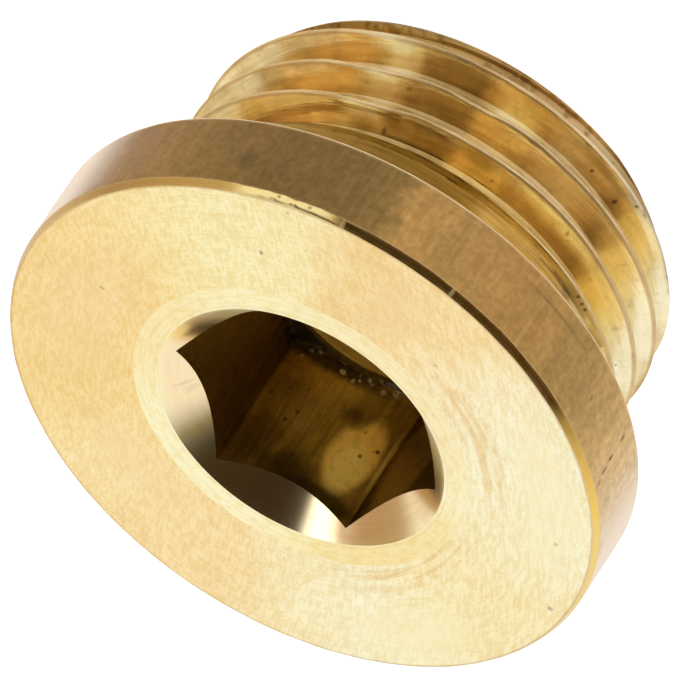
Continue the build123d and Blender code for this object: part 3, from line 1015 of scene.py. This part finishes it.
def make_finishes():
    make_round_the_axis()
    make_grain()
    make_streaks()
    make_tool_lines()
    make_pits()
    make_mottle()
    make_patch()
    make_worn_edge_and_highlight()
    painters = {"face": face_brass, "ring": ring_brass, "bevel": bevel_brass, "side": side_brass,
                "seat": seat_brass, "neck": neck_brass, "thread": thread_brass, "lead": lead_brass,
                "end": end_brass, "countersink": countersink_brass, "socket": socket_brass,
                "pilot": pilot_brass}
    made = []
    for name in FINISHES:
        material, tree, shader = new_material("brass_" + name)
        connect(tree, shader, painters[name](tree))
        made.append(material)
    return made


sharp_angle = math.radians(32)


def make_plug():
    mesh = build_plug()
    for material in make_finishes():
        mesh.materials.append(material)
    mesh.polygons.foreach_set("use_smooth", np.ones(len(mesh.polygons), bool))
    mesh.set_sharp_from_angle(angle=sharp_angle)
    plug = bpy.data.objects.new("plug_body", mesh)
    bpy.context.scene.collection.objects.link(plug)
    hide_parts("plug")
    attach(plug, "root")
    return plug


# ---------------------------------------------------------------- floor, light, camera

floor_half_width = 3.0  # metres
floor_grey = 0.62
floor_glow_seen = 0.95
floor_glow_mirrored = 0.58


def make_floor():
    half = floor_half_width
    mesh = bpy.data.meshes.new("floor")
    corners = [(-half, -half, 0), (half, -half, 0), (half, half, 0), (-half, half, 0)]
    mesh.from_pydata(corners, [], [(0, 1, 2, 3)])
    floor = bpy.data.objects.new("floor", mesh)
    bpy.context.scene.collection.objects.link(floor)
    material = bpy.data.materials.new("white_floor")
    material.use_nodes = True
    tree = material.node_tree
    shader = tree.nodes["Principled BSDF"]
    connect(tree, shader, {"Base Color": (floor_grey, floor_grey, floor_grey, 1), "Roughness": 1,
                           "Specular IOR Level": 0, "Emission Color": (1, 1, 1, 1)})
    path = add(tree, "LightPath")
    mirrored = math_node(tree, "MAXIMUM", path.outputs["Is Glossy Ray"], path.outputs["Is Transmission Ray"])
    glow = math_node(tree, "MULTIPLY", path.outputs["Is Camera Ray"], floor_glow_seen)
    glow = math_node(tree, "MULTIPLY_ADD", mirrored, floor_glow_mirrored, glow)
    tree.links.new(glow, shader.inputs["Emission Strength"])
    mesh.materials.append(material)


def direction(azimuth_from_front, elevation):
    """Unit vector towards a place in the studio, by its angle from the front and above the floor."""
    a = front_angle + math.radians(azimuth_from_front)
    e = math.radians(elevation)
    return Vector((math.cos(e) * math.cos(a), math.cos(e) * math.sin(a), math.sin(e)))


# Screens that stand round the plug in a white studio, and one lamp. Rows are place (degrees from
# the front, degrees above the floor), reach and softness in degrees, and colour.
studio = [
    ((103, 27), 21, 15, (0.50, 0.36, 0.22)),
    ((-18, 40), 47, 19, (0.050, 0.032, 0.017)),
    ((20, 46), 32, 9, (0.050, 0.032, 0.017)),
    ((62, 46), 7, 5, (2.3, 2.3, 2.2)),
]
horizon_low = 9
horizon_high = 17


def make_world():
    world = bpy.data.worlds.new("studio")
    bpy.context.scene.world = world
    world.use_nodes = True
    tree = world.node_tree
    background = tree.nodes["Background"]
    coordinates = add(tree, "TexCoord")
    colour = (1, 1, 1, 1)
    for (azimuth, elevation), reach, soft, light in studio:
        dot = add(tree, "VectorMath", {"operation": "DOT_PRODUCT"},
                  {0: coordinates.outputs["Generated"], 1: direction(azimuth, elevation)})
        spread = smooth(tree, dot.outputs["Value"], math.cos(math.radians(reach + soft)),
                        math.cos(math.radians(max(reach - soft, 0))))
        colour = mix(tree, spread, colour, (*light, 1))
    up = add(tree, "SeparateXYZ", None, {0: coordinates.outputs["Generated"]}).outputs[2]
    above = smooth(tree, up, math.sin(math.radians(horizon_low)), math.sin(math.radians(horizon_high)))
    colour = mix(tree, above, (1, 1, 1, 1), colour)
    path = add(tree, "LightPath")
    seen = mix(tree, path.outputs["Is Camera Ray"], colour, (1, 1, 1, 1))
    tree.links.new(seen, background.inputs["Color"])


def make_camera():
    data = bpy.data.cameras.new("camera")
    camera = bpy.data.objects.new("camera", data)
    bpy.context.scene.collection.objects.link(camera)
    bpy.context.scene.camera = camera
    data.sensor_width = sensor_width
    data.lens = camera_lens
    data.clip_start = 0.01
    data.clip_end = 10
    back = Vector((math.cos(camera_elevation) * math.cos(camera_azimuth),
                   math.cos(camera_elevation) * math.sin(camera_azimuth), math.sin(camera_elevation)))
    level_up = (Vector((0, 0, 1)) - back * back.z).normalized()
    level_right = level_up.cross(back)
    up = level_up * math.cos(camera_roll) + level_right * math.sin(camera_roll)
    right = up.cross(back)
    target = Vector((0, 0, face_height)) + right * image_centre_right + up * image_centre_up
    place = (target + back * camera_distance) * MM
    rows = Matrix((right, up, back)).transposed().to_4x4()
    camera.matrix_world = Matrix.Translation(place) @ rows


make_camera()
make_plug()
make_floor()
make_world()
bpy.context.scene.view_settings.view_transform = "Standard"
